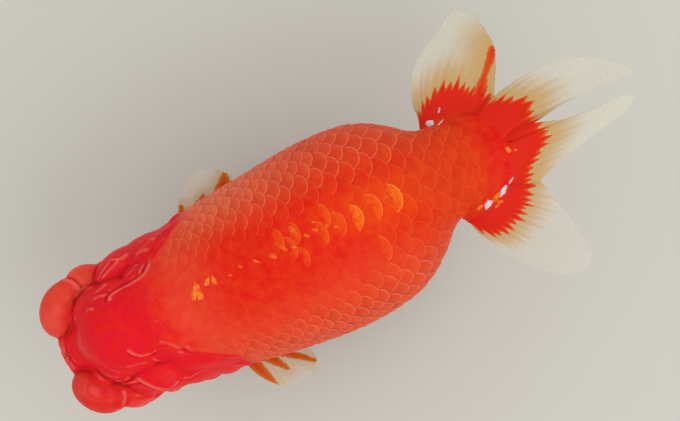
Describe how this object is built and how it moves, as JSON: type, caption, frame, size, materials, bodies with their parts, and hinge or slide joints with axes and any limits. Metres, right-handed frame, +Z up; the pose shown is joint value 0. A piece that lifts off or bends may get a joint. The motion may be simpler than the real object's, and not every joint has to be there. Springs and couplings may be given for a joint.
{
  "type": "ranchu goldfish model",
  "caption": "Life-size still model of a ranchu goldfish, red body with a lumpy head growth, no back fin and a parted pale tail, on a slim oval stand.",
  "frame": {"origin": "centre of the underside of the stand's oval plinth, on the floor under the trunk", "axes": "+Z up, -Y out of the fish's nose, +Y towards its tail, +X to the fish's left side"},
  "size_m": [0.0804, 0.1715, 0.096],
  "materials": {
    "skin": "wet sheen, scaled",
    "wen": "wet sheen, fleshy",
    "fin": "translucent, ribbed",
    "eye": "polished",
    "plinth": "dark satin varnish",
    "rod": "brushed"
  },
  "bodies": {
    "root": {"head": "skin", "trunk": "skin", "tail_stem": "skin", "head_crown": "wen", "lip_upper": "wen", "lip_lower": "wen", "chin": "wen", "nose_lobe_left": "wen", "cheek_left": "wen", "gill_cover_left": "wen", "eye_left": "eye", "pectoral_fin_left": "fin", "pelvic_fin_left": "fin", "anal_fin_left": "fin", "tail_inner_left": "fin", "tail_outer_left": "fin", "nose_lobe_right": "wen", "cheek_right": "wen", "gill_cover_right": "wen", "eye_right": "eye", "pectoral_fin_right": "fin", "pelvic_fin_right": "fin", "anal_fin_right": "fin", "tail_inner_right": "fin", "tail_outer_right": "fin", "stand_base": "plinth", "stand_rod_front": "rod", "stand_rod_rear": "rod"}
  },
  "joints": []
}
